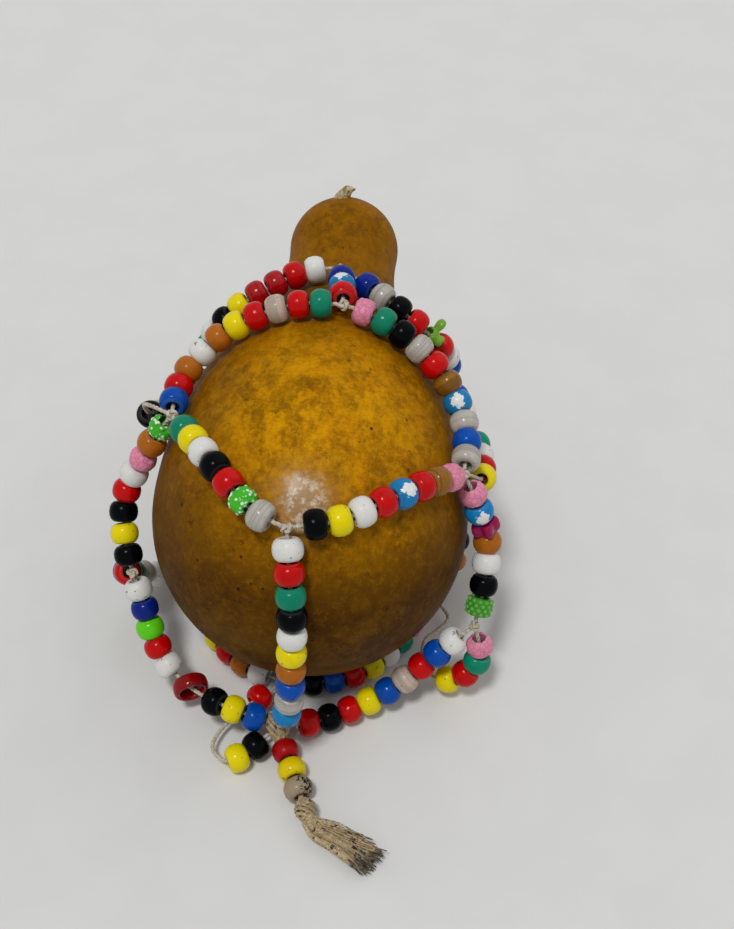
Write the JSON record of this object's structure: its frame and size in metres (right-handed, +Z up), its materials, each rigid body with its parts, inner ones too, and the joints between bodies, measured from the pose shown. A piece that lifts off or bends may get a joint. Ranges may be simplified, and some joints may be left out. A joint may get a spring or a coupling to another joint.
{
  "type": "gourd rattle",
  "caption": "Dried bottle-gourd rattle lying on its side in a loose diamond net of threaded plastic beads, with a knotted, frayed tassel.",
  "frame": {"origin": "on the surface that the rattle lies on, below the centre of the gourd's belly", "axes": "+Z up, +Y along the gourd towards its neck, +X to the right seen from the tassel"},
  "size_m": [0.1269, 0.2268, 0.108],
  "materials": {
    "shell": "varnished",
    "stalk": "matte",
    "seed": "matte",
    "cotton": "matte",
    "jute": "matte",
    "red": "gloss",
    "dark_red": "gloss",
    "white": "gloss",
    "yellow": "gloss",
    "black": "gloss",
    "cobalt": "gloss",
    "navy": "gloss",
    "turquoise": "gloss",
    "sea_green": "gloss",
    "lime": "gloss",
    "caramel": "gloss",
    "brown": "gloss",
    "pink": "gloss",
    "pearl": "satin",
    "peach": "gloss",
    "glitter": "gloss",
    "magenta": "gloss",
    "speckled": "gloss"
  },
  "bodies": {
    "gourd": {"gourd_shell": "shell", "stem_stub": "stalk"},
    "seeds": {"dried_seeds": "seed"},
    "net": {"collar_twine": "cotton", "upper_twine": "cotton", "middle_twine": "cotton", "lower_twine": "cotton", "net_knots": "cotton", "gather_knot": "jute", "red_beads": "red", "dark_red_beads": "dark_red", "white_beads": "white", "yellow_beads": "yellow", "black_beads": "black", "cobalt_beads": "cobalt", "navy_beads": "navy", "turquoise_beads": "turquoise", "sea_green_beads": "sea_green", "lime_beads": "lime", "caramel_beads": "caramel", "brown_beads": "brown", "pink_beads": "pink", "pearl_beads": "pearl", "peach_beads": "peach", "glitter_beads": "glitter"},
    "ring": {"ring_bead": "red"},
    "flower": {"flower_bead": "magenta"},
    "beehive": {"beehive_bead": "glitter"},
    "charm": {"petal_charm": "lime"},
    "tassel": {"tassel_twine": "jute", "tassel_red_bead": "red", "tassel_yellow_bead": "yellow", "tassel_speckled_bead": "speckled", "tassel_knot": "jute", "tassel_fringe": "jute"}
  },
  "joints": [
    {"name": "net_twist", "type": "hinge", "parent": "gourd", "child": "net", "pos_m": [0, 0, 0.05], "axis": [0, 0.9781, 0.2079], "range_deg": [-20, 20]},
    {"name": "seeds_swirl", "type": "hinge", "parent": "gourd", "child": "seeds", "pos_m": [0, 0, 0.05], "axis": [0, 0.9781, 0.2079], "range_deg": [-25, 25]},
    {"name": "tassel_swing", "type": "hinge", "parent": "net", "child": "tassel", "pos_m": [-0.006, -0.0505, 0.0046], "axis": [0, 0, 1], "range_deg": [0, 25]},
    {"name": "ring_turn", "type": "hinge", "parent": "net", "child": "ring", "pos_m": [-0.03496, -0.04183, 0.01123], "axis": [0.4188, -0.9039, -0.0865], "continuous": true},
    {"name": "flower_turn", "type": "hinge", "parent": "net", "child": "flower", "pos_m": [0.05478, -0.00523, 0.05846], "axis": [0.268, -0.0056, -0.9634], "continuous": true},
    {"name": "beehive_turn", "type": "hinge", "parent": "net", "child": "beehive", "pos_m": [0.05505, -0.01978, 0.03615], "axis": [-0.1532, -0.6258, -0.7648], "continuous": true},
    {"name": "charm_swing", "type": "hinge", "parent": "net", "child": "charm", "pos_m": [0.03386, 0.04934, 0.08534], "axis": [0.5957, 0.1298, -0.7926], "range_deg": [-25, 25]}
  ]
}
